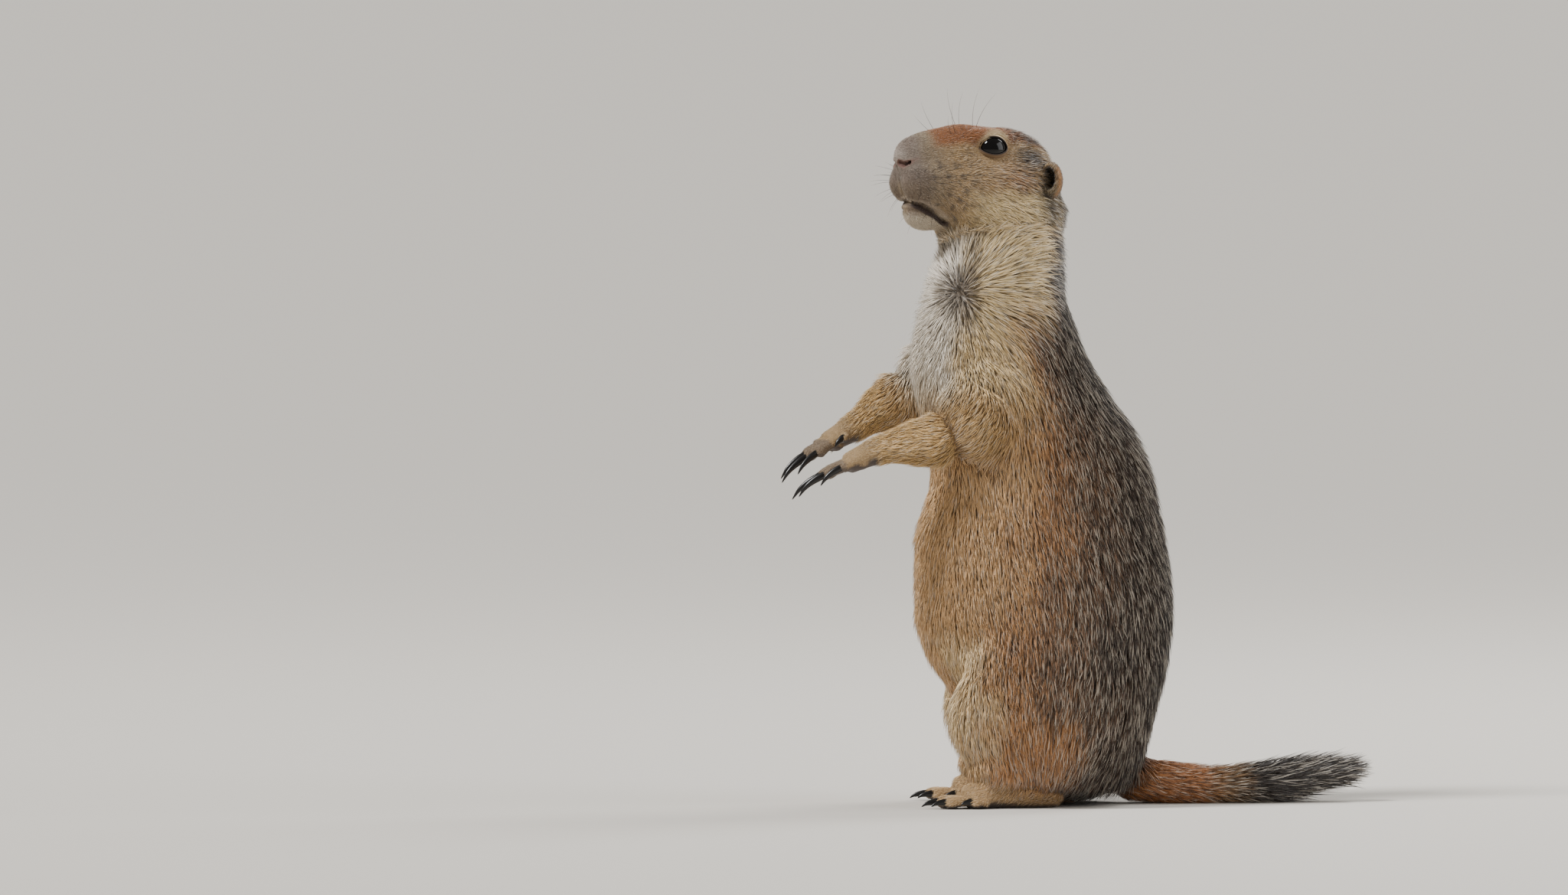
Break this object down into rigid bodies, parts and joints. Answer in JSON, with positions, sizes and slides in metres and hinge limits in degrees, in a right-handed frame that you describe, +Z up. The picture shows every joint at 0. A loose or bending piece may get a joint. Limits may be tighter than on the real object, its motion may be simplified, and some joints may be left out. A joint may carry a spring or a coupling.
{
  "type": "prairie dog",
  "caption": "Still, life-size black-tailed prairie dog standing upright on its hind feet, forepaws held out in front and tail laid along the floor.",
  "frame": {"origin": "on the floor, under the middle of the whole model's bounding box", "axes": "+Z up, the animal faces -Y, its left side is +X, and its tail runs back along +Y"},
  "size_m": [0.1142, 0.2656, 0.3115],
  "materials": {
    "body_fur": "short coarse grizzled coat, rust brown with dark and pale hair tips",
    "throat_fur": "soft cream and straw coloured fur",
    "head_fur": "short fur, rusty crown and grey buff cheeks",
    "arm_fur": "short yellow buff fur with bare grey pads",
    "leg_fur": "rusty orange fur with bare soles",
    "tail_fur": "coarse rusty orange fur",
    "tail_brush_fur": "long coarse blackish hair with pale tips",
    "claw": "smooth black horn",
    "eye": "wet glossy black eye"
  },
  "bodies": {
    "root": {"head": "head_fur", "neck": "throat_fur", "chest": "body_fur", "belly": "body_fur", "haunch_left": "leg_fur", "eye_left": "eye", "ear_left": "head_fur", "haunch_right": "leg_fur", "eye_right": "eye", "ear_right": "head_fur", "upper_arm_left": "arm_fur", "forearm_left": "arm_fur", "forepaw_left": "arm_fur", "claw_index_left": "claw", "claw_middle_left": "claw", "claw_ring_left": "claw", "claw_little_left": "claw", "claw_thumb_left": "claw", "upper_arm_right": "arm_fur", "forearm_right": "arm_fur", "forepaw_right": "arm_fur", "claw_index_right": "claw", "claw_middle_right": "claw", "claw_ring_right": "claw", "claw_little_right": "claw", "claw_thumb_right": "claw", "shank_left": "leg_fur", "hind_foot_left": "leg_fur", "toe_claw_first_left": "claw", "toe_claw_second_left": "claw", "toe_claw_third_left": "claw", "toe_claw_fourth_left": "claw", "toe_claw_fifth_left": "claw", "shank_right": "leg_fur", "hind_foot_right": "leg_fur", "toe_claw_first_right": "claw", "toe_claw_second_right": "claw", "toe_claw_third_right": "claw", "toe_claw_fourth_right": "claw", "toe_claw_fifth_right": "claw", "tail_base": "tail_fur", "tail_brush": "tail_brush_fur"}
  },
  "joints": []
}
